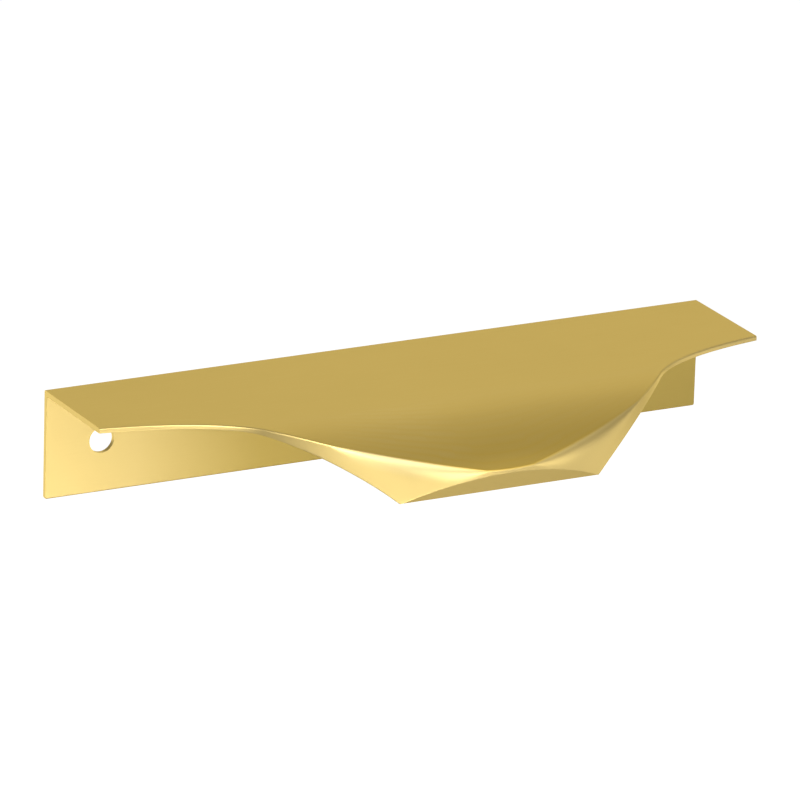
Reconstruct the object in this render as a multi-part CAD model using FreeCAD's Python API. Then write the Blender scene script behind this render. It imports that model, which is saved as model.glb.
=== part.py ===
"""Edge pull for a drawer or door front, in one piece of metal, sizes in millimetres.

An L-shaped bar stands over the edge of the front: its thin plate is screwed to the back of the
front and its thin top lies over the edge. Towards the room the top bends down in a wide arc and
thickens into a nose with a square-cut face. A wave, cut straight down through the whole bar,
leaves a shallow top at both ends and a deep finger grip in the middle.

Frame: X runs along the pull, -Y points into the room, +Z is up. The origin lies on the seat of
the back plate, midway between the two screw holes.
"""
import FreeCAD, Part
import math
import os

# back plate and its screw holes, heights measured from the top
plate_height = 17.7
plate_thickness = 0.85
hole_spacing = 96.0
hole_to_end = 9.5
hole_diameter = 4.2
hole_below_top = 9.2

# section of the bar, depths measured from the back of the plate
flat_depth = 28.1
top_radius = 26.9
nose_thickness = 5.82
underside_flat_depth = 26.4
inner_corner_radius = 0.4
outer_corner_radius = 0.2

# wave, seen from above: reach at the middle, at the steepest point of the flank and at the ends
middle_reach = 45.15
nose_beyond_wave = 0.3
flank_reach = 29.5
flank_half_width = 34.7
flank_angle = 48.0
end_reach = 19.7
end_angle = 9.5
crest_pull = 15.7
upper_flank_pull = 11.4
lower_flank_pull = 7.6
end_pull = 8.6

# softened edges along the wave's wall and around the lower border of the plate
wall_top_radius = 0.3
wall_foot_radius = 0.2
plate_foot_radius = 0.35
cut_clearance = 5.0

top_height = hole_below_top
half_length = hole_spacing / 2 + hole_to_end
pull_length = 2 * half_length
# the top arc ends just beyond the wave, so that a thin neck is left at the middle
nose_angle = math.degrees(math.asin(
    (middle_reach + nose_beyond_wave - flat_depth) / top_radius))


def section_point(depth, drop):
    """A point of the bar's section: depth from the back face, drop below the top face."""
    return FreeCAD.Vector(-half_length, plate_thickness - depth, top_height - drop)


def line(start, end):
    return Part.LineSegment(start, end).toShape()


def arc_about(centre, radius, start_angle, end_angle):
    """An arc of the section; angles in degrees lean forward from straight up."""
    def on_arc(angle):
        lean = math.radians(angle)
        depth, drop = centre
        return section_point(depth + radius * math.sin(lean), drop - radius * math.cos(lean))
    middle_angle = (start_angle + end_angle) / 2
    return Part.Arc(on_arc(start_angle), on_arc(middle_angle), on_arc(end_angle)).toShape()


def nose_face_end():
    """Depth and drop of the nose face's lower end: the face points at the top arc's centre."""
    lean = math.radians(nose_angle)
    inner_radius = top_radius - nose_thickness
    return flat_depth + inner_radius * math.sin(lean), top_radius - inner_radius * math.cos(lean)


def bar():
    """The full L-shaped bar with its thick nose, before the wave is cut."""
    lean = math.radians(nose_angle)
    tip = section_point(flat_depth + top_radius * math.sin(lean),
                        top_radius * (1 - math.cos(lean)))
    lip_depth, lip_drop = nose_face_end()
    lip = section_point(lip_depth, lip_drop)
    # the underside arc leaves the flat without a kink and ends at the lip
    run = lip_depth - underside_flat_depth
    fall = lip_drop - plate_thickness
    sweep = 2 * math.degrees(math.atan2(fall, run))
    underside_radius = run / math.sin(math.radians(sweep))
    outline = Part.Wire([
        line(section_point(0, plate_height), section_point(0, 0)),
        line(section_point(0, 0), section_point(flat_depth, 0)),
        arc_about((flat_depth, top_radius), top_radius, 0, nose_angle),
        line(tip, lip),
        arc_about((underside_flat_depth, plate_thickness + underside_radius),
                  underside_radius, sweep, 0),
        line(section_point(underside_flat_depth, plate_thickness),
             section_point(plate_thickness, plate_thickness)),
        line(section_point(plate_thickness, plate_thickness),
             section_point(plate_thickness, plate_height)),
        line(section_point(plate_thickness, plate_height), section_point(0, plate_height)),
    ])
    solid = Part.Face(outline).extrude(FreeCAD.Vector(pull_length, 0, 0))
    inner_corner = long_edge(solid, plate_thickness, plate_thickness)
    solid = solid.makeFillet(inner_corner_radius, [inner_corner])
    return solid.makeFillet(outer_corner_radius, [long_edge(solid, 0, 0)])


def edge_middle(edge):
    return edge.valueAt((edge.FirstParameter + edge.LastParameter) / 2)


def long_edge(solid, depth, drop):
    """The lengthwise edge whose middle lies at a point of the section."""
    place = section_point(depth, drop) + FreeCAD.Vector(half_length, 0, 0)
    return min(solid.Edges, key=lambda edge: (edge_middle(edge) - place).Length)


def plan_point(along, reach):
    return FreeCAD.Vector(along, plate_thickness - reach, 0)


def wave_half():
    """Two smooth spans from the crest at the middle to the right end of the pull."""
    flank = math.radians(flank_angle)
    end = math.radians(end_angle)
    upper = [
        plan_point(0, middle_reach),
        plan_point(crest_pull, middle_reach),
        plan_point(flank_half_width - upper_flank_pull * math.cos(flank),
                   flank_reach + upper_flank_pull * math.sin(flank)),
        plan_point(flank_half_width, flank_reach),
    ]
    lower = [
        plan_point(flank_half_width, flank_reach),
        plan_point(flank_half_width + lower_flank_pull * math.cos(flank),
                   flank_reach - lower_flank_pull * math.sin(flank)),
        plan_point(half_length - end_pull * math.cos(end),
                   end_reach + end_pull * math.sin(end)),
        plan_point(half_length, end_reach),
    ]
    spans = []
    for poles in (upper, lower):
        curve = Part.BezierCurve()
        curve.setPoles(poles)
        spans.append(curve.toShape())
    return spans


def wave_cutter():
    """Everything in front of the wave, as one block that stands through the bar."""
    right = wave_half()
    left = [span.mirror(FreeCAD.Vector(0, 0, 0), FreeCAD.Vector(1, 0, 0)) for span in right]
    far_reach = middle_reach + top_radius
    side = half_length + cut_clearance
    corners = [
        plan_point(half_length, end_reach),
        plan_point(side, end_reach),
        plan_point(side, far_reach),
        plan_point(-side, far_reach),
        plan_point(-side, end_reach),
        plan_point(-half_length, end_reach),
    ]
    border = [line(a, b) for a, b in zip(corners, corners[1:])]
    edges = Part.__sortEdges__(right + border + left)
    face = Part.Face(Part.Wire(edges))
    face.translate(FreeCAD.Vector(0, 0, top_height - plate_height - cut_clearance))
    return face.extrude(FreeCAD.Vector(0, 0, plate_height + 2 * cut_clearance))


def screw_holes():
    """Two plain holes through the back plate."""
    holes = []
    for along in (-hole_spacing / 2, hole_spacing / 2):
        start = FreeCAD.Vector(along, -cut_clearance, 0)
        holes.append(Part.makeCylinder(hole_diameter / 2, plate_thickness + 2 * cut_clearance,
                                       start, FreeCAD.Vector(0, 1, 0)))
    return holes


def top_drop(depth):
    """How far the top face has dropped at a depth of the section."""
    beyond = max(0, depth - flat_depth)
    return top_radius - math.sqrt(top_radius ** 2 - beyond ** 2)


def wave_edges(solid, on_top_face):
    """The curved edges that the wave left on the top face, or all the others."""
    edges = []
    for edge in solid.Edges:
        if edge.Degenerated or edge.Curve.TypeId != "Part::GeomBSplineCurve":
            continue
        middle = edge_middle(edge)
        below_top_face = top_height - middle.z - top_drop(plate_thickness - middle.y)
        if (abs(below_top_face) < 1e-3) == on_top_face:
            edges.append(edge)
    return edges


def soften_wall(solid):
    """Rounds the wall's foot together with the nose's lower edge, and then the wall's top."""
    nose_edge = long_edge(solid, *nose_face_end())
    solid = solid.makeFillet(wall_foot_radius, wave_edges(solid, False) + [nose_edge])
    return solid.makeFillet(wall_top_radius, wave_edges(solid, True))


def round_plate_foot(solid):
    """The lower border of the back plate: its two corners and the long edge on either face."""
    bottom = top_height - plate_height
    border = [edge for edge in solid.Edges
              if all(abs(vertex.Z - bottom) < 1e-6 for vertex in edge.Vertexes)]
    return solid.makeFillet(plate_foot_radius, border)


def pull():
    solid = bar().cut(wave_cutter()).Solids[0]
    solid = soften_wall(solid)
    solid = solid.cut(screw_holes()).Solids[0]
    return round_plate_foot(solid)


os.makedirs("parts", exist_ok=True)
shape = pull()
print("solids", len(shape.Solids), "valid", shape.isValid(), "volume mm3", round(shape.Volume, 1))
box = shape.optimalBoundingBox()
print("box mm", round(box.XLength, 2), round(box.YLength, 2), round(box.ZLength, 2))
shape.exportStep("parts/pull.step")
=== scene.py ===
# %% [markdown]
# # A brushed gold edge pull
# The pull is one piece of metal that hooks over the edge of a drawer front. This lesson loads
# its solid, gives it a brushed gold finish made only of nodes, and sets up a plain studio with
# a camera at the viewing angle of the photograph.

# %% Load the solid
import bisect
import math

import bmesh
import bpy
from mathutils import Matrix, Vector


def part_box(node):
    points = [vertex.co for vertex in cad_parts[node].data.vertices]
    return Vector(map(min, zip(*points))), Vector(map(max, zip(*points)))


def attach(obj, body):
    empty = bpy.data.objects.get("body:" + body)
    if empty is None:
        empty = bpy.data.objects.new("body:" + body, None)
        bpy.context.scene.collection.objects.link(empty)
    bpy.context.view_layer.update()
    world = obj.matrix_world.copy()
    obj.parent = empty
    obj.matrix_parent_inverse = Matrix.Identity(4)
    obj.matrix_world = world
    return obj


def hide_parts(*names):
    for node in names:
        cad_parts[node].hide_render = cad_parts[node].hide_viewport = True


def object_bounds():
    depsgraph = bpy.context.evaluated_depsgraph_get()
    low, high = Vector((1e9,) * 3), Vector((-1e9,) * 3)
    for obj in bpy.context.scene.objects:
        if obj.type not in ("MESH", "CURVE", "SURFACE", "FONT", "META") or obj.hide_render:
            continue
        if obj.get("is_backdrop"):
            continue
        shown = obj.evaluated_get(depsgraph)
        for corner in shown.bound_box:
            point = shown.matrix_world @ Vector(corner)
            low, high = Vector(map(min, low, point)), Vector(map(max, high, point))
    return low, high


MILLIMETRES = 1000

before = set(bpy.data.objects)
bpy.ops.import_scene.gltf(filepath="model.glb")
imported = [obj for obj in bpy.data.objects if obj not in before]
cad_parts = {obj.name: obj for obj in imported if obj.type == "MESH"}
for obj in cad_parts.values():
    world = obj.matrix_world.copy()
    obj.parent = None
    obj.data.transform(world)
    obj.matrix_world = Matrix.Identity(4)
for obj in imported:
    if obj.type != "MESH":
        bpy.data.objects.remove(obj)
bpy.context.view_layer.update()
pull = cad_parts["pull"]
low, high = (Vector(corner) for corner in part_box("pull"))
print("pull, millimetres:", [round(side * MILLIMETRES, 2) for side in high - low])

# %% [markdown]
# ## The wave, seen from above
# On the real pull the edge between the top and the wave's wall isn't equally crisp everywhere.
# Over the middle and at both ends it is a fine line, but on each flank the polishing wheel has
# rolled it over softly. The solid has one small rounding all along, so the front of the pull is
# modelled again here, from the same sizes, with a rounding that grows and fades. It is built as
# a boat builder does it: one rib at a time along the wave, and then a skin over the ribs.
# The ribs stand along the wave, which is two smooth spans on each side of the middle.
# A plan point holds the place along the pull and the reach from the back of the plate.

# %% Stations along the wave
PLATE = 0.00085
CREST = Vector((0, 0.04515))
FLANK = Vector((0.0347, 0.0295))
END = Vector((0.0575, 0.0197))
CREST_PULL = 0.0157
UPPER_FLANK_PULL = 0.0114
LOWER_FLANK_PULL = 0.0076
END_PULL = 0.0086
FLANK_ANGLE = math.radians(48)
END_ANGLE = math.radians(9.5)
RIBS_PER_SPAN = 80


def uphill(angle, length):
    return Vector((-math.cos(angle), math.sin(angle))) * length


def along_span(poles, t):
    """A plan point of a smooth span, and the direction from there into the metal."""
    while len(poles) > 2:
        poles = [a.lerp(b, t) for a, b in zip(poles, poles[1:])]
    run = poles[1] - poles[0]
    return poles[0].lerp(poles[1], t), Vector((run.y, -run.x)).normalized()


def wave_stations():
    upper = [CREST, CREST + Vector((CREST_PULL, 0)),
             FLANK + uphill(FLANK_ANGLE, UPPER_FLANK_PULL), FLANK]
    lower = [FLANK, FLANK - uphill(FLANK_ANGLE, LOWER_FLANK_PULL),
             END + uphill(END_ANGLE, END_PULL), END]
    right = [along_span(span, k / RIBS_PER_SPAN)
             for span in (upper, lower) for k in range(RIBS_PER_SPAN)]
    right.append(along_span(lower, 1))
    mirror = Vector((-1, 1))
    return [(place * mirror, inward * mirror) for place, inward in reversed(right[1:])] + right


stations = wave_stations()
print("ribs:", len(stations))

# %% [markdown]
# ## Heights of the top and the underside
# The top is flat over the front's edge and then bends down in a wide arc. The underside is flat,
# falls away in a tighter arc and ends at the lip, where the square nose face rises to the top.
# Each height follows from the reach alone, so a rib is easy to draw at any station.

# %% Section of the bar
FLAT_REACH = 0.0281
TOP_RADIUS = 0.0269
NOSE_THICKNESS = 0.00582
UNDERSIDE_FLAT_REACH = 0.0264
NOSE_BEYOND_WAVE = 0.0003
NOSE_ANGLE = math.asin((CREST.y + NOSE_BEYOND_WAVE - FLAT_REACH) / TOP_RADIUS)
LIP_REACH = FLAT_REACH + (TOP_RADIUS - NOSE_THICKNESS) * math.sin(NOSE_ANGLE)
LIP_HEIGHT = high.z - TOP_RADIUS + (TOP_RADIUS - NOSE_THICKNESS) * math.cos(NOSE_ANGLE)
UNDERSIDE_HEIGHT = high.z - PLATE
UNDERSIDE_RUN = LIP_REACH - UNDERSIDE_FLAT_REACH
UNDERSIDE_SWEEP = 2 * math.atan2(UNDERSIDE_HEIGHT - LIP_HEIGHT, UNDERSIDE_RUN)
UNDERSIDE_RADIUS = UNDERSIDE_RUN / math.sin(UNDERSIDE_SWEEP)


def top_height(reach):
    return high.z - TOP_RADIUS + math.sqrt(TOP_RADIUS ** 2 - max(0, reach - FLAT_REACH) ** 2)


def face_height(reach, inside=0):
    """Height of the nose face, or of a line that lies inside the metal by some distance."""
    shifted = reach - LIP_REACH + inside * math.cos(NOSE_ANGLE)
    return LIP_HEIGHT + inside * math.sin(NOSE_ANGLE) + shifted / math.tan(NOSE_ANGLE)


def underside_height(reach, inside=0):
    beyond = max(0, reach - UNDERSIDE_FLAT_REACH)
    arc = math.sqrt(max(0, (UNDERSIDE_RADIUS + inside) ** 2 - beyond ** 2))
    return UNDERSIDE_HEIGHT - UNDERSIDE_RADIUS + arc


neck = top_height(CREST.y) - face_height(CREST.y)
print("thinnest wall of the nose, millimetres:", round(neck * MILLIMETRES, 2))

# %% [markdown]
# ## A small ball that rounds the lower edges
# The foot of the wall and the lip are rounded by a small radius. Picture a ball of that radius
# that rolls along inside the edge: where it touches the faces, the rounding starts and ends.
# The middle of the ball stays one radius inside the metal, so its height is the higher one of the
# two lines that run inside the nose face and inside the underside. Where the two lines cross,
# the ball sits in the lip.

# %% Where the ball sits
FOOT_RADIUS = 0.0002
HALVINGS = 40
FACE_OUT = Vector((0, -math.cos(NOSE_ANGLE), -math.sin(NOSE_ANGLE)))


def point(plan, height):
    return Vector((plan.x, PLATE - plan.y, height))


def ball_at(plan):
    """The middle of the ball over a plan point."""
    heights = face_height(plan.y, FOOT_RADIUS), underside_height(plan.y, FOOT_RADIUS)
    return point(plan, max(heights))


def lip_ball_reach():
    near, far = UNDERSIDE_FLAT_REACH, LIP_REACH
    for _ in range(HALVINGS):
        middle = (near + far) / 2
        if face_height(middle, FOOT_RADIUS) < underside_height(middle, FOOT_RADIUS):
            near = middle
        else:
            far = middle
    return near


def underside_out(middle):
    """Straight down under the flat, and towards the arc's centre under the nose."""
    centre = Vector((0, PLATE - UNDERSIDE_FLAT_REACH, UNDERSIDE_HEIGHT - UNDERSIDE_RADIUS))
    towards = centre - Vector((0, min(middle.y, centre.y), middle.z))
    return towards.normalized()


LIP_BALL_REACH = lip_ball_reach()
lip_depth = ball_at(Vector((0, LIP_BALL_REACH))).z - LIP_HEIGHT
print("the sharp lip lies below its ball, millimetres:", round(lip_depth * MILLIMETRES, 2))

# %% [markdown]
# ## One rib
# A rib runs from the plate over the top to the wave, bends into the wall, and goes back along
# the nose face and the underside. The bend at the top is drawn with three points: where it
# starts, the corner that it cuts, and where it ends. The soft edge only moves the start and the
# end further away from the corner, most of all in the middle of each flank's upper part.

# %% The points of a rib
SEAM_REACH = 0.0035
CRISP_RADIUS = 0.0003
SOFT_DOWN = 0.0027
SOFT_INTO_TOP = 0.0009
SOFT_MIDDLE = 0.0155
SOFT_SPREAD = 0.0115
TOP_STEPS, SOFT_STEPS, WALL_STEPS, FOOT_STEPS, FACE_STEPS, UNDERSIDE_STEPS = 26, 12, 6, 6, 4, 24
FINE_STEPS = 150


def bend(start, corner, end, steps):
    parts = [k / steps for k in range(steps + 1)]
    return [start.lerp(corner, t).lerp(corner.lerp(end, t), t) for t in parts]


def round_ball(middle, first_out, last_out, steps):
    turns = [first_out.slerp(last_out, k / steps) for k in range(steps + 1)]
    return [middle + turn * FOOT_RADIUS for turn in turns]


def straight(start, end, steps):
    return [start.lerp(end, k / steps) for k in range(1, steps)]


def surface_run(start, end, steps, height_at):
    """Evenly spaced points of a surface between two plan points, without the two themselves."""
    plans = [start.lerp(end, k / FINE_STEPS) for k in range(FINE_STEPS + 1)]
    fine = [point(plan, height_at(plan.y)) for plan in plans]
    lengths = [0.0]
    for one, other in zip(fine, fine[1:]):
        lengths.append(lengths[-1] + (other - one).length)
    wanted = [lengths[-1] * k / steps for k in range(1, steps)]
    return [fine[bisect.bisect_left(lengths, length)] for length in wanted]


def softness(along):
    return max(0, 1 - ((abs(along) - SOFT_MIDDLE) / SOFT_SPREAD) ** 2)


def top_part(place, inward, soft):
    """From the seam over the top and round the edge, down to where the wall stands straight."""
    lean = math.atan2(max(0, place.y - FLAT_REACH), top_height(place.y) - high.z + TOP_RADIUS)
    turn = math.pi / 2 - math.atan(math.tan(lean) * abs(inward.y))
    crisp = CRISP_RADIUS * math.tan(turn / 2)
    seam = Vector((place.x, SEAM_REACH))
    rim = place + inward * (crisp + SOFT_INTO_TOP * soft)
    corner = point(place, top_height(place.y))
    drop = Vector((0, 0, crisp + SOFT_DOWN * soft))
    points = [point(seam, high.z)] + surface_run(seam, rim, TOP_STEPS, top_height)
    return points + bend(point(rim, top_height(rim.y)), corner, corner - drop, SOFT_STEPS)


def lower_part(place, inward):
    """Round the foot of the wall, along the nose face if there is one, and back to the seam."""
    wall_out = point(place, 0) - point(place + inward, 0)
    middle = ball_at(place + inward * FOOT_RADIUS)
    seam = Vector((place.x, SEAM_REACH))
    if PLATE - middle.y > LIP_BALL_REACH:
        lip_ball = ball_at(Vector((place.x, LIP_BALL_REACH)))
        foot = round_ball(middle, wall_out, FACE_OUT, FOOT_STEPS)
        lip = round_ball(lip_ball, FACE_OUT, underside_out(lip_ball), FOOT_STEPS)
        points = foot + straight(foot[-1], lip[0], FACE_STEPS) + lip
    else:
        points = round_ball(middle, wall_out, underside_out(middle), 2 * FOOT_STEPS + FACE_STEPS)
    start = Vector((points[-1].x, PLATE - points[-1].y))
    underside = surface_run(start, seam, UNDERSIDE_STEPS, underside_height)
    return points + underside + [point(seam, UNDERSIDE_HEIGHT)]


def rib(place, inward):
    upper = top_part(place, inward, softness(place.x))
    lower = lower_part(place, inward)
    return upper + straight(upper[-1], lower[0], WALL_STEPS) + lower


print("points in a rib:", len(rib(*stations[0])))

# %% [markdown]
# ## The plate
# The back plate with its screw holes is right as it is, so it comes from a copy of the solid's
# mesh. The copy's loose triangles are merged, everything in front of the seam is cut away, and
# its flat faces are joined into large ones. The strip beside the seam is then cut at every rib,
# so that the plate and the new front meet point to point.

# %% The plate, cut from a copy of the solid
MERGE_DISTANCE = 1e-6
ON_PLANE_WITHIN = 1e-8
FLAT_WITHIN = math.radians(0.2)
STRIP_REACH = 0.0025


def cut(bm, faces, place, normal, clear):
    # a dictionary drops what comes twice and, unlike a set, keeps the order in every run
    edges = dict.fromkeys(edge for face in faces for edge in face.edges)
    verts = dict.fromkeys(vert for face in faces for vert in face.verts)
    bmesh.ops.bisect_plane(bm, geom=list(verts) + list(edges) + list(faces),
                           dist=ON_PLANE_WITHIN, plane_co=place, plane_no=normal,
                           clear_outer=clear)


def crosses(face, along):
    places = [vert.co.x for vert in face.verts]
    return min(places) < along < max(places)


def plate_from_solid(bm):
    bm.from_mesh(pull.data)
    bmesh.ops.remove_doubles(bm, verts=bm.verts, dist=MERGE_DISTANCE)
    cut(bm, bm.faces, (0, PLATE - SEAM_REACH, 0), (0, -1, 0), True)
    bmesh.ops.dissolve_limit(bm, angle_limit=FLAT_WITHIN, verts=bm.verts, edges=bm.edges)
    strip_y = PLATE - STRIP_REACH
    cut(bm, bm.faces, (0, strip_y, 0), (0, -1, 0), False)
    for place, _ in stations[1:-1]:
        strip = [face for face in bm.faces
                 if face.calc_center_median().y < strip_y and crosses(face, place.x)]
        cut(bm, strip, (place.x, 0, 0), (1, 0, 0), False)


dressed = bmesh.new()
plate_from_solid(dressed)
print("faces of the plate:", len(dressed.faces))

# %% [markdown]
# ## The skin over the ribs
# `bridge_loops` lays a strip of faces between each rib and the next. The two outer ribs are
# filled to close the ends, and merging joins the skin to the plate along the seam.

# %% Bridge the ribs
def bridge_ribs(bm):
    ribs = []
    for station in stations:
        verts = [bm.verts.new(place) for place in rib(*station)]
        ribs.append([bm.edges.new(pair) for pair in zip(verts, verts[1:])])
        if station in (stations[0], stations[-1]):
            bm.faces.new(verts)
    for one, other in zip(ribs, ribs[1:]):
        bmesh.ops.bridge_loops(bm, edges=one + other)


bridge_ribs(dressed)
bmesh.ops.remove_doubles(dressed, verts=dressed.verts, dist=2 * MERGE_DISTANCE)
bmesh.ops.recalc_face_normals(dressed, faces=dressed.faces)
volume = dressed.calc_volume() * MILLIMETRES ** 3
print("open edges:", sum(not edge.is_manifold for edge in dressed.edges),
      "volume, cubic millimetres:", round(volume, 1))

# %% [markdown]
# ## Smooth where it bends, sharp where it doesn't
# The surface is shaded smoothly except over the square edges at the ends and around the holes.
# The weighted normals let the large flat faces win over the narrow strips of the roundings, so
# that the flats stay flat to the eye.

# %% The finished piece
SHARP_ANGLE = math.radians(65)


def finish_piece(bm, name):
    for face in bm.faces:
        face.smooth = True
    for edge in bm.edges:
        edge.smooth = edge.calc_face_angle(0) < SHARP_ANGLE
    mesh = bpy.data.meshes.new(name)
    bm.to_mesh(mesh)
    bm.free()
    piece = bpy.data.objects.new(name, mesh)
    bpy.context.collection.objects.link(piece)
    weighted = piece.modifiers.new("weighted_normals", "WEIGHTED_NORMAL")
    weighted.keep_sharp = True
    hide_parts("pull")
    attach(piece, "root")
    return piece


pull_piece = finish_piece(dressed, "edge_pull")
print("faces:", len(pull_piece.data.polygons))

# %% [markdown]
# ## Shader maths as plain expressions
# A shader is a graph, but formulas read better than wires. This small class wraps one socket,
# so that `1 - mask * 2` adds the Math nodes it needs. Any other node comes from `node`, which
# takes its settings first and then the values or links of its sockets.

# %% A socket that can be written in formulas
class Shader:
    def __init__(self, tree, socket):
        self.tree = tree
        self.socket = socket

    def node(self, kind, settings=None, **inputs):
        made = self.tree.nodes.new(kind)
        for name, value in (settings or {}).items():
            setattr(made, name, value)
        for name, value in inputs.items():
            place = int(name[1:]) if name[1:].isdigit() else name.replace("_", " ")
            self.feed(made.inputs[place], value)
        return made

    def feed(self, target, value):
        if isinstance(value, Shader):
            self.tree.links.new(value.socket, target)
        else:
            target.default_value = value

    def maths(self, operation, *values):
        inputs = {f"i{index}": value for index, value in enumerate(values)}
        made = self.node("ShaderNodeMath", {"operation": operation}, **inputs)
        return Shader(self.tree, made.outputs[0])

    def __add__(self, other):
        return self.maths("ADD", self, other)

    def __radd__(self, other):
        return self.maths("ADD", other, self)

    def __sub__(self, other):
        return self.maths("SUBTRACT", self, other)

    def __rsub__(self, other):
        return self.maths("SUBTRACT", other, self)

    def __mul__(self, other):
        return self.maths("MULTIPLY", self, other)

    def __rmul__(self, other):
        return self.maths("MULTIPLY", other, self)

    def __truediv__(self, other):
        return self.maths("DIVIDE", self, other)

    def __pow__(self, other):
        return self.maths("POWER", self, other)

    def above(self, least):
        return self.maths("MAXIMUM", self, least)

    def below(self, most):
        return self.maths("MINIMUM", self, most)


def new_material(name):
    material = bpy.data.materials.new(name)
    material.use_nodes = True
    tree = material.node_tree
    surface = tree.nodes["Principled BSDF"]
    coordinates = tree.nodes.new("ShaderNodeTexCoord")
    return material, tree, surface, Shader(tree, coordinates.outputs["Object"])


print("shader helper ready")

# %% [markdown]
# ## Brushed gold
# The finish is a satin metal whose fine hairlines run along the length of the pull. Noise that
# is stretched along X draws the hairlines; it moves the roughness a little, tilts the light
# through a faint bump, and lets the colour drift. Light and shade are also painted into the
# colour. The top is a deeper gold than the paler sides and deepest where it bends down over the
# nose, which is painted shade and painted light. A pale band down the upper wall of the left
# flank is a painted highlight. The plate is deeper in tone behind the nose, a painted shade. How
# far a point of the wall lies below the top follows from the section of the top alone, so a
# formula of Y and Z gives it. All sizes are in metres.

# %% The brushed metal
GOLD_TOP = (0.83, 0.62, 0.205, 1.0)
# painted shade: a deeper gold where the top bends down over the nose
GOLD_PAINTED_SHADE_NOSE = (0.83, 0.575, 0.120, 1.0)
# painted light: a paler gold for everything below the top edge, where the light is brighter
GOLD_PAINTED_LIGHT_SIDE = (0.83, 0.632, 0.235, 1.0)
# painted shade: a deeper tone for the plate where the nose shades it
GOLD_PAINTED_SHADE_BEHIND_NOSE = (0.68, 0.50, 0.13, 1.0)
GOLD_GLANCING = (1.0, 0.88, 0.5, 1.0)
# painted highlight: a paler gold down the upper wall of the left flank, below the soft edge
GOLD_PAINTED_HIGHLIGHT = (0.90, 0.76, 0.42, 1.0)
DEEPER = (0.93, 0.92, 0.90, 1.0)
DEEPER_BY_CLOUDS = 0.6
DEEPER_BY_HAIRLINES = 0.3
SIDE_HEIGHT = 0.0001
NOSE_RUN = 0.014
BEHIND_NOSE_FROM = -0.042
BEHIND_NOSE_RUN = 0.022
PAINTED_HIGHLIGHT_HEIGHT = 0.0022
PAINTED_HIGHLIGHT_STRENGTH = 0.6
# noise cells to a metre, along the pull and across it
HAIRLINES = (160, 9000, 9000)
CLOUDS = (60, 60, 60)
LEAST_ROUGHNESS = 0.36
HAIRLINE_ROUGHNESS = 0.08
GRAIN_DEPTH = 0.00002
GRAIN_STRENGTH = 0.12


def brushed_gold():
    material, tree, surface, place = new_material("brushed_gold")
    parts = place.node("ShaderNodeSeparateXYZ", Vector=place).outputs
    along, across, height = (Shader(tree, part) for part in parts)

    def noise(scale, detail):
        vector = Shader(tree, place.node("ShaderNodeMapping", i0=place, Scale=scale).outputs[0])
        made = place.node("ShaderNodeTexNoise", Vector=vector, Scale=1.0, Detail=detail)
        return Shader(tree, made.outputs["Fac"])

    def mix(share, one, other, blend_type="MIX"):
        settings = {"data_type": "RGBA", "blend_type": blend_type}
        made = place.node("ShaderNodeMix", settings, i0=share, i6=one, i7=other)
        return Shader(tree, made.outputs[2])

    hairlines = noise(HAIRLINES, 2.0)
    clouds = noise(CLOUDS, 1.0)

    # how far a point lies beyond the flat and below the top face, nought all over the top itself
    beyond = (PLATE - FLAT_REACH - across).above(0)
    top_drop = TOP_RADIUS - (TOP_RADIUS ** 2 - beyond * beyond).above(0) ** 0.5
    below_top = (high.z - top_drop - height).above(0)
    on_side = (below_top / SIDE_HEIGHT).below(1)
    on_plate = place.maths("GREATER_THAN", across, -2 * PLATE)

    flank = (along + SOFT_MIDDLE) / SOFT_SPREAD
    soft = (1 - flank * flank).above(0) * (beyond / SIDE_HEIGHT).below(1)
    # painted highlight: pale on the left flank's wall just below the top, fading out 2.2 mm down
    painted_highlight = (1 - below_top / PAINTED_HIGHLIGHT_HEIGHT).above(0) * on_side * soft * PAINTED_HIGHLIGHT_STRENGTH
    # painted shade: the plate deepens in tone from 42 mm left of the middle and stays deep to the
    # right end
    painted_shade_behind_nose = ((along - BEHIND_NOSE_FROM) / BEHIND_NOSE_RUN).above(0).below(1) * on_plate

    # painted shade and light: the top deepens over the nose's bend, the sides below it are paler
    top_tone = mix((beyond / NOSE_RUN).below(1), GOLD_TOP, GOLD_PAINTED_SHADE_NOSE)
    side_tone = mix(painted_shade_behind_nose, GOLD_PAINTED_LIGHT_SIDE, GOLD_PAINTED_SHADE_BEHIND_NOSE)
    tone = mix(on_side, top_tone, side_tone)
    mottling = clouds * DEEPER_BY_CLOUDS + hairlines * DEEPER_BY_HAIRLINES
    mottled = mix(mottling, tone, mix(1.0, tone, DEEPER, "MULTIPLY"))
    place.feed(surface.inputs["Base Color"], mix(painted_highlight, mottled, GOLD_PAINTED_HIGHLIGHT))
    place.feed(surface.inputs["Roughness"], LEAST_ROUGHNESS + hairlines * HAIRLINE_ROUGHNESS)
    grain = place.node("ShaderNodeBump", Height=hairlines, Strength=GRAIN_STRENGTH,
                       Distance=GRAIN_DEPTH)
    place.feed(surface.inputs["Normal"], Shader(tree, grain.outputs[0]))
    surface.inputs["Metallic"].default_value = 1.0
    surface.inputs["Specular Tint"].default_value = GOLD_GLANCING
    return material


gold = brushed_gold()
pull_piece.data.materials.append(gold)
print("material:", gold.name)

# %% [markdown]
# ## Camera
# The photograph was taken with a very long lens, a little from above and from the left. The
# camera turns about the upper back edge of the pull, at the middle of its length.

# %% The camera
CAMERA_AZIMUTH = math.radians(-27.991)
CAMERA_ELEVATION = math.radians(18.993)
CAMERA_ROLL = math.radians(1.712)
CAMERA_DISTANCE = 1.2610
FOCAL_PIXELS = 8031
PICTURE_PIXELS = 800
AIM_RIGHT_PIXELS = -25.0
AIM_DOWN_PIXELS = -55.5
SENSOR_MM = 36.0
NEAREST_SEEN = 0.01


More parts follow.
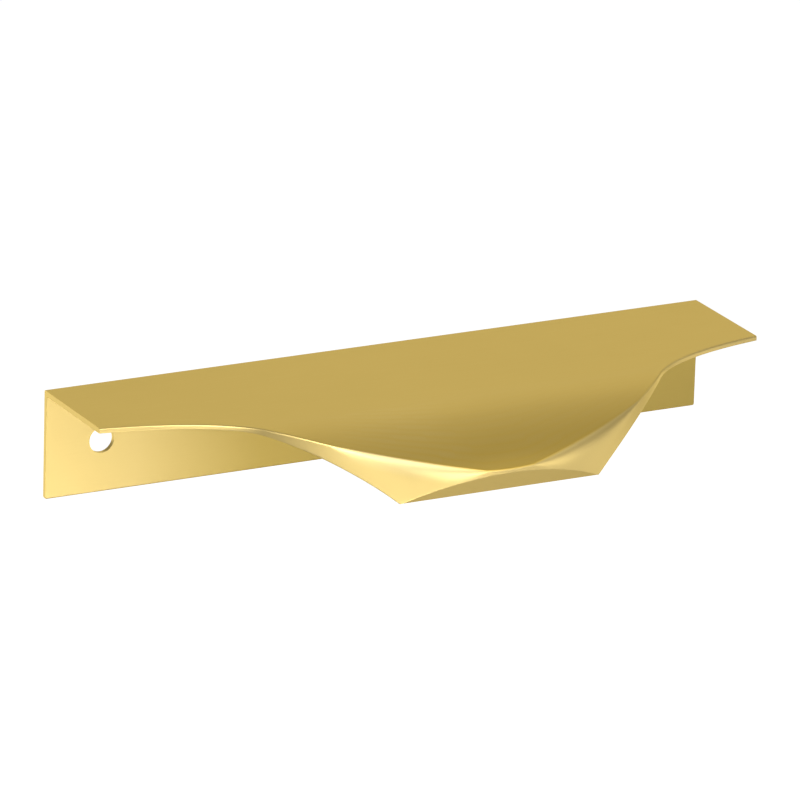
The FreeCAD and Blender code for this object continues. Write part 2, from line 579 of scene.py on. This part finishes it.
def add_camera():
    right = Vector((math.cos(CAMERA_AZIMUTH), math.sin(CAMERA_AZIMUTH), 0))
    back = Vector((math.sin(CAMERA_AZIMUTH) * math.cos(CAMERA_ELEVATION),
                   -math.cos(CAMERA_AZIMUTH) * math.cos(CAMERA_ELEVATION),
                   math.sin(CAMERA_ELEVATION)))
    up = back.cross(right)
    metres_per_pixel = CAMERA_DISTANCE / FOCAL_PIXELS
    aim = Vector((0, high.y, high.z))
    place = (aim + back * CAMERA_DISTANCE - right * AIM_RIGHT_PIXELS * metres_per_pixel
             + up * AIM_DOWN_PIXELS * metres_per_pixel)
    rolled_right = math.cos(CAMERA_ROLL) * right + math.sin(CAMERA_ROLL) * up
    rolled_up = math.cos(CAMERA_ROLL) * up - math.sin(CAMERA_ROLL) * right
    turn = Matrix((rolled_right, rolled_up, back)).transposed()
    lens = bpy.data.cameras.new("camera")
    lens.sensor_width = SENSOR_MM
    lens.lens = FOCAL_PIXELS / PICTURE_PIXELS * SENSOR_MM
    lens.clip_start = NEAREST_SEEN
    camera = bpy.data.objects.new("camera", lens)
    camera.matrix_world = Matrix.Translation(place) @ turn.to_4x4()
    bpy.context.collection.objects.link(camera)
    bpy.context.scene.camera = camera
    return camera


camera = add_camera()
print("camera lens, mm:", round(camera.data.lens, 1))

# %% [markdown]
# ## Floor and background
# The photograph is a plain one on white. The Light Path node tells the camera's rays from those
# that the metal mirrors: the floor and the world are white for the camera, and the metal mirrors
# them at a lower level, because in the photo it mirrors a dimmer room. The pull hangs well above
# the floor, as it does on a drawer, and its faint shadow falls there.

# %% Floor and background
FLOOR_DROP = 0.2
FLOOR_SIZE = 4.0
FLOOR_COLOUR = (0.8, 0.8, 0.8, 1)
FLOOR_ROUGHNESS = 0.9
FLOOR_WHITE = 0.75
FLOOR_MIRRORED = 0.02
FLOOR_GLOW = 0.0
WORLD_WHITE = 1.0
WORLD_MIRRORED = 0.3
WORLD_GLOW = 0.3
WHITE = (1, 1, 1, 1)


def white_by_ray(tree, for_camera, in_metal, for_light):
    """How strong the white is for the camera, in the mirror of the metal, and as a light."""
    rays = tree.nodes.new("ShaderNodeLightPath").outputs
    camera_ray = Shader(tree, rays["Is Camera Ray"])
    glossy_ray = Shader(tree, rays["Is Glossy Ray"])
    return camera_ray * (for_camera - for_light) + glossy_ray * (in_metal - for_light) + for_light


def white_floor():
    bpy.ops.mesh.primitive_plane_add(size=FLOOR_SIZE, location=(0, 0, low.z - FLOOR_DROP))
    floor = bpy.context.object
    floor.name = "floor"
    material, tree, surface, place = new_material("white_floor")
    surface.inputs["Base Color"].default_value = FLOOR_COLOUR
    surface.inputs["Roughness"].default_value = FLOOR_ROUGHNESS
    surface.inputs["Specular IOR Level"].default_value = 0.0
    surface.inputs["Emission Color"].default_value = WHITE
    white = white_by_ray(tree, FLOOR_WHITE, FLOOR_MIRRORED, FLOOR_GLOW)
    place.feed(surface.inputs["Emission Strength"], white)
    floor.data.materials.append(material)
    floor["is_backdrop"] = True
    return floor


def white_world():
    world = bpy.data.worlds.new("studio")
    world.use_nodes = True
    bpy.context.scene.world = world
    tree = world.node_tree
    shade = tree.nodes["Background"]
    shade.inputs["Color"].default_value = WHITE
    strength = white_by_ray(tree, WORLD_WHITE, WORLD_MIRRORED, WORLD_GLOW)
    strength.feed(shade.inputs["Strength"], strength)


floor = white_floor()
white_world()
print("floor, millimetres below the pull:", FLOOR_DROP * MILLIMETRES)

# %% [markdown]
# ## Lamps
# Satin metal shows its surroundings, only blurred, so the lamps are as much a part of the finish
# as the material is. Each face of the pull mirrors one patch of the room towards the camera, and
# a soft lamp stands in that patch. The top mirrors the room behind and to the right, the plate
# mirrors what is low in front, the walls mirror what is low at the sides, and the ends mirror
# what is low behind. The nose face mirrors the floor, which the high lamp in front lights. Four
# small lamps close to the nose brighten the neck and the soft edges, and one near the left end
# makes the plate fade towards the middle.

# %% Soft lamps
MIDDLE = Vector((0, -0.02, 0))
NOSE = Vector((0, -0.045, 0.004))
LEFT_END = Vector((-0.057, 0, 0))
# aim, degrees to the right of the front, degrees up, distance, size, watts
LAMPS = {
    "back_right": (MIDDLE, 152, 19, 0.6, 0.45, 0.266),
    "back_high": (MIDDLE, 152, 55, 0.6, 0.45, 0.145),
    "front_high": (MIDDLE, 15, 45, 0.6, 0.4, 0.95),
    "right_high": (MIDDLE, 100, 28, 0.6, 0.3, 0.145),
    "low_right": (MIDDLE, 75, -17, 0.38, 0.22, 0.099),
    "low_back_right": (MIDDLE, 125, -19, 0.38, 0.22, 0.124),
    "low_back_left": (MIDDLE, -152, -19, 0.38, 0.22, 0.162),
    "low_front_left": (MIDDLE, -30, -17, 0.38, 0.22, 0.128),
    "plate_left": (LEFT_END, 15, -35, 0.16, 0.06, 0.046),
    "nose_right": (NOSE, 45, -4, 0.16, 0.06, 0.020),
    "nose_front": (NOSE, 8, -2, 0.16, 0.06, 0.056),
    "nose_left": (NOSE, -50, 12, 0.2, 0.08, 0.115),
    "nose_left_high": (NOSE, -35, 30, 0.2, 0.08, 0.125),
}


def soft_lamp(name, aim, right_of_front, up, distance, size, watts):
    turn, tilt = math.radians(right_of_front), math.radians(up)
    away = Vector((math.sin(turn) * math.cos(tilt),
                   -math.cos(turn) * math.cos(tilt),
                   math.sin(tilt)))
    light = bpy.data.lights.new(name, "AREA")
    light.size = size
    light.energy = watts
    lamp = bpy.data.objects.new(name, light)
    lamp.location = aim + away * distance
    lamp.rotation_euler = away.to_track_quat("Z", "Y").to_euler()
    lamp.visible_camera = False
    bpy.context.collection.objects.link(lamp)


for name, setting in LAMPS.items():
    soft_lamp(name, *setting)
print("soft lamps:", len(LAMPS))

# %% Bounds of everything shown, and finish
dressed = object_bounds()
bpy.context.scene.view_settings.view_transform = "Standard"
